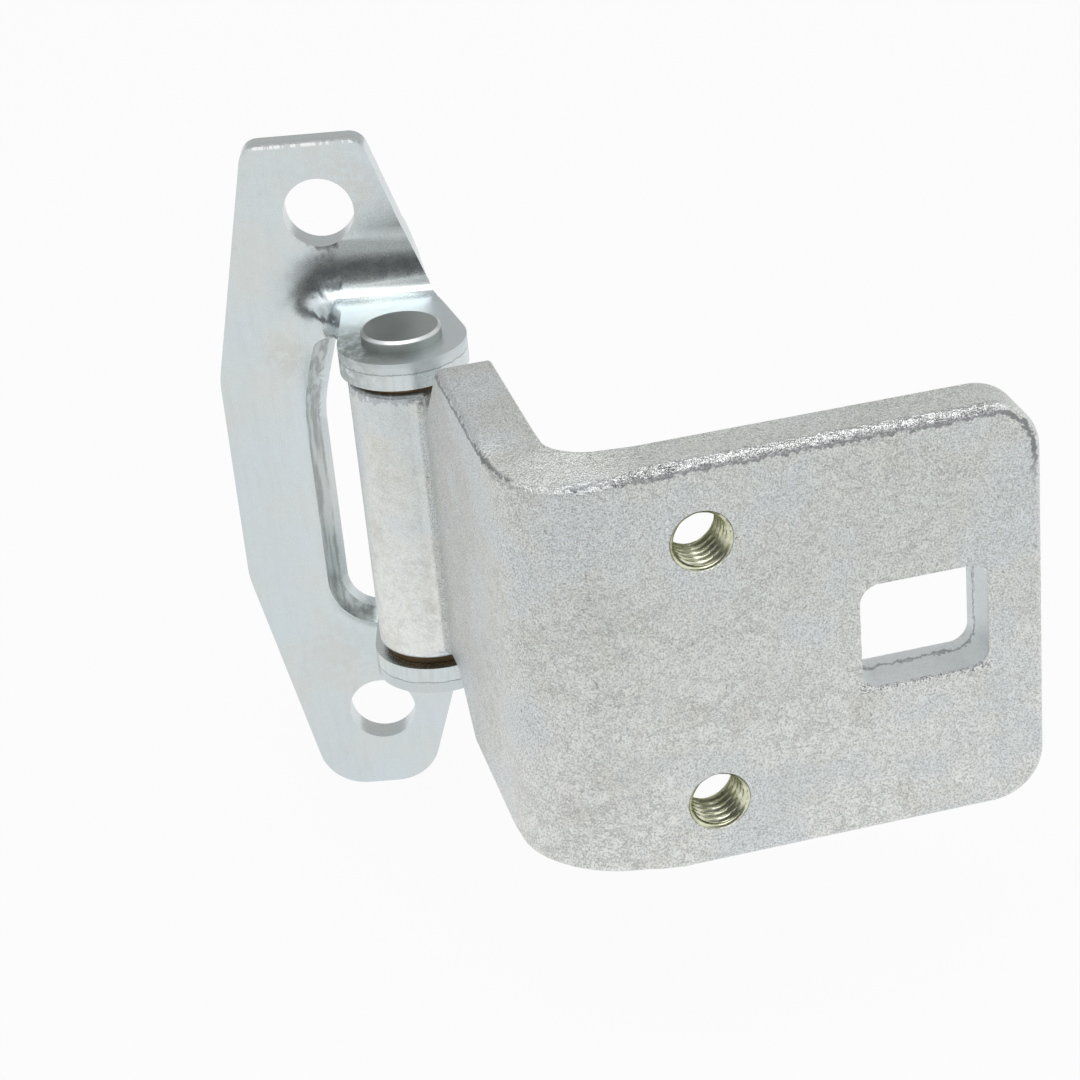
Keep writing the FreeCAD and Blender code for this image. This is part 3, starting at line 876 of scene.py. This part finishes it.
def mark_sheared(sheet):
    """Store where the sheet was cut through, and how far each point lies behind its front side."""
    mesh, cut, front = sheet_sides(sheet)
    corners = [vertex.co for vertex in mesh.verts]
    near = BVHTree.FromPolygons(corners, [[v.index for v in mesh.faces[i].verts] for i in sorted(front)])
    depth = [near.find_nearest(corner)[3] / MM for corner in corners]
    mesh.free()
    sheet.data.attributes.new("cut", "FLOAT", "FACE").data.foreach_set("value", cut)
    sheet.data.attributes.new("depth", "FLOAT", "POINT").data.foreach_set("value", depth)


def soften_edges(sheet):
    soften = sheet.modifiers.new("edges", "BEVEL")
    soften.width = soften_wide
    soften.segments = soften_segments
    soften.limit_method = "ANGLE"
    soften.angle_limit = math.radians(soften_angle)
    bake_modifiers(sheet)


def build_object():
    sheet, forging, pin, bush = sheet_material(), forging_material(), pin_material(), bush_material()
    leaf = threaded_leaf()
    tear_edge(leaf)
    shade(leaf, forging_sharp)
    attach(leaf, "door")
    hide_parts("door_leaf")
    dress(leaf, forging)
    plate = copy_of("pillar_leaf")
    reshape_bend(plate)
    soften_edges(plate)
    mark_sheared(plate)
    shade(plate, sheet_sharp)
    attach(plate, "pillar")
    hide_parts("pillar_leaf")
    dress(plate, sheet)
    dress(frame["nodes"]["hinge_pin"], pin)
    for node in ("upper_bush", "lower_bush"):
        dress(frame["nodes"][node], bush)


# Studio: pale floor, white room, overhead softbox, and cards that only reflections see

def seen_white(tree, shader, white, share, end):
    """Mix plain white into a shader for camera, glossy and transmission rays, and join it to the end."""
    path = tree.nodes.new("ShaderNodeLightPath")
    seen = path.outputs["Is Camera Ray"]
    for ray in ("Is Glossy Ray", "Is Transmission Ray"):
        both = tree.nodes.new("ShaderNodeMath")
        both.operation = "MAXIMUM"
        tree.links.new(seen, both.inputs[0])
        tree.links.new(path.outputs[ray], both.inputs[1])
        seen = both.outputs[0]
    part = tree.nodes.new("ShaderNodeMath")
    part.operation = "MULTIPLY"
    part.inputs[1].default_value = share
    mix = tree.nodes.new("ShaderNodeMixShader")
    for source, socket in ((seen, part.inputs[0]), (part.outputs[0], mix.inputs[0]), (shader, mix.inputs[1]),
                           (white, mix.inputs[2]), (mix.outputs[0], end)):
        tree.links.new(source, socket)


def flat_panel(name, corners):
    mesh = bmesh.new()
    mesh.faces.new([mesh.verts.new(c) for c in corners])
    panel = mesh_object(name, mesh)
    material = bpy.data.materials.new(name)
    material.use_nodes = True
    panel.data.materials.append(material)
    return panel, material.node_tree


def glowing_card(name, corners, level):
    """A card of even brightness that only reflections see."""
    card, tree = flat_panel(name, corners)
    glow = tree.nodes.new("ShaderNodeEmission")
    glow.inputs["Color"].default_value = (level, level, level, 1.0)
    tree.links.new(glow.outputs[0], tree.nodes["Material Output"].inputs["Surface"])
    card.visible_camera = False
    card.visible_diffuse = False
    card.visible_shadow = False


def build_floor():
    low = cad_box[0].z
    reach = floor_reach
    tree = flat_panel("floor", [(-reach, -reach, low), (reach, -reach, low),
                                (reach, reach, low), (-reach, reach, low)])[1]
    shader = tree.nodes["Principled BSDF"]
    shader.inputs["Base Color"].default_value = (floor_color, floor_color, floor_color, 1.0)
    shader.inputs["Roughness"].default_value = floor_rough
    shader.inputs["Specular IOR Level"].default_value = floor_specular
    glow = tree.nodes.new("ShaderNodeEmission")
    glow.inputs["Strength"].default_value = 1.0
    end = tree.nodes["Material Output"].inputs["Surface"]
    seen_white(tree, shader.outputs[0], glow.outputs[0], floor_share, end)


def build_room():
    side = room_half
    for name, first, last, level in cards:
        glowing_card(name, [(-side, *first), (side, *first), (side, *last), (-side, *last)], level)
    bottom, top, level = side_card
    glowing_card("side_card", [(-side, -side, bottom), (-side, side, bottom),
                               (-side, side, top), (-side, -side, top)], level)

    world = bpy.data.worlds.new("room")
    bpy.context.scene.world = world
    world.use_nodes = True
    tree = world.node_tree
    dim = tree.nodes["Background"]
    dim.inputs["Color"].default_value = (1, 1, 1, 1)
    dim.inputs["Strength"].default_value = sky_level
    white = tree.nodes.new("ShaderNodeBackground")
    white.inputs["Color"].default_value = (1, 1, 1, 1)
    end = tree.nodes["World Output"].inputs["Surface"]
    seen_white(tree, dim.outputs[0], white.outputs[0], 1.0, end)

    light = bpy.data.lights.new("lamp", "AREA")
    light.shape = "RECTANGLE"
    light.size, light.size_y = lamp_size
    light.energy = lamp_power
    lamp = bpy.data.objects.new("lamp", light)
    lamp.location = lamp_at
    lamp.rotation_euler = (-lamp_at).to_track_quat("-Z", "Y").to_euler()
    bpy.context.scene.collection.objects.link(lamp)


def build_camera():
    right = Vector((math.cos(camera_azimuth), math.sin(camera_azimuth), 0))
    level = Vector((-math.sin(camera_azimuth), math.cos(camera_azimuth), 0))
    ahead = level * math.cos(camera_pitch) - Vector((0, 0, math.sin(camera_pitch)))
    above = level * math.sin(camera_pitch) + Vector((0, 0, math.cos(camera_pitch)))
    turn_x = right * math.cos(camera_roll) - above * math.sin(camera_roll)
    turn_y = right * math.sin(camera_roll) + above * math.cos(camera_roll)
    data = bpy.data.cameras.new("camera")
    data.lens = camera_lens_mm
    data.sensor_width = sensor_mm
    data.clip_start, data.clip_end = camera_clip
    camera = bpy.data.objects.new("camera", data)
    turn = Matrix((turn_x, turn_y, -ahead)).transposed().to_4x4()
    camera.matrix_world = Matrix.Translation(camera_at) @ turn
    bpy.context.scene.collection.objects.link(camera)
    bpy.context.scene.camera = camera


build_object()
build_floor()
build_room()
build_camera()
bpy.context.scene.view_settings.view_transform = "Standard"
